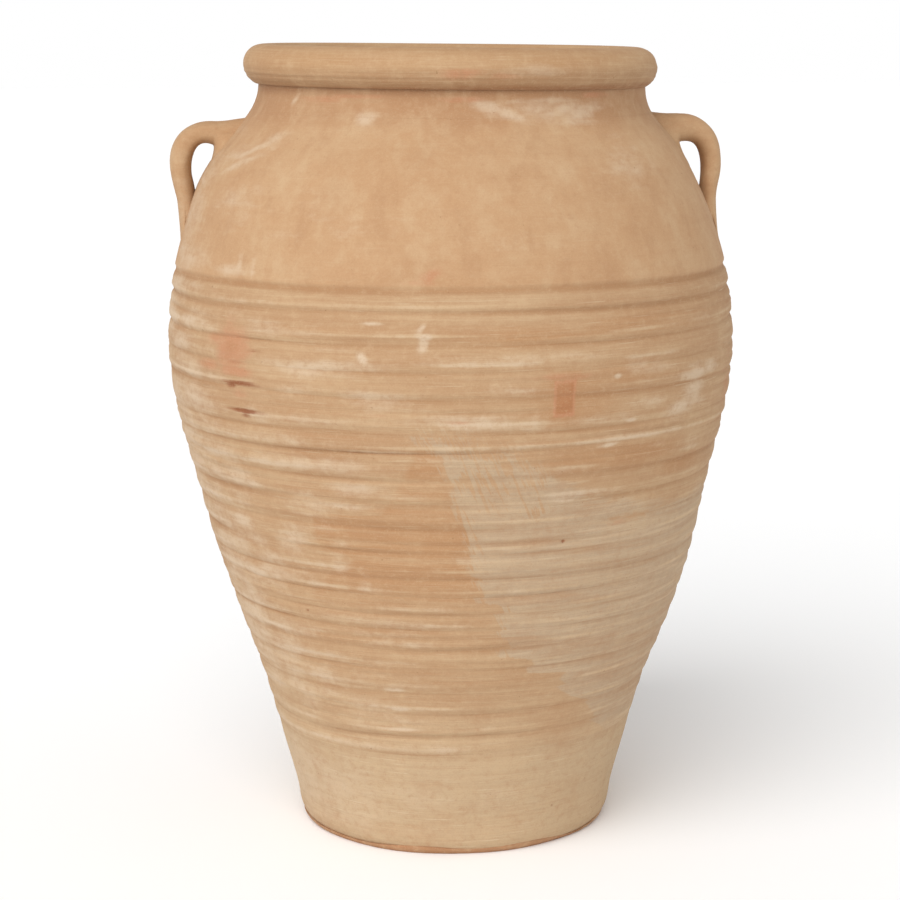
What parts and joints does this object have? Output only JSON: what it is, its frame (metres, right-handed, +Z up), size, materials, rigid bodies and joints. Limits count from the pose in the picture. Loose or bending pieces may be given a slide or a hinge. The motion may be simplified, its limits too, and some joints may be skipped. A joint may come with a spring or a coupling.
{
  "type": "amphora",
  "caption": "Large unglazed terracotta garden jar with a rolled rim, smooth shoulder, ringed belly, plain foot and pulled strap handles.",
  "frame": {"origin": "centre of the foot, on the plane that the jar stands on", "axes": "+Z up, out of the mouth; X through both handles, the right handle on +X; the front faces -Y"},
  "size_m": [0.5799, 0.58, 0.801],
  "materials": {
    "foot_terracotta": "matt, unglazed, scraped smooth",
    "belly_terracotta": "matt, unglazed, ringed by the fingers, with pale lime bloom",
    "shoulder_terracotta": "matt, unglazed, wiped smooth",
    "rim_terracotta": "matt, unglazed, wiped smooth",
    "handle_terracotta": "matt, unglazed, pulled by a wet hand"
  },
  "bodies": {
    "root": {"floor_disc": "foot_terracotta", "foot_wall": "foot_terracotta", "lower_belly_wall": "belly_terracotta", "middle_belly_wall": "belly_terracotta", "upper_belly_wall": "belly_terracotta", "shoulder_wall": "shoulder_terracotta", "neck_collar": "shoulder_terracotta", "rim_roll": "rim_terracotta", "left_handle": "handle_terracotta", "right_handle": "handle_terracotta", "left_upper_luting_pad": "handle_terracotta", "left_lower_luting_pad": "handle_terracotta", "right_upper_luting_pad": "handle_terracotta", "right_lower_luting_pad": "handle_terracotta"}
  },
  "joints": []
}
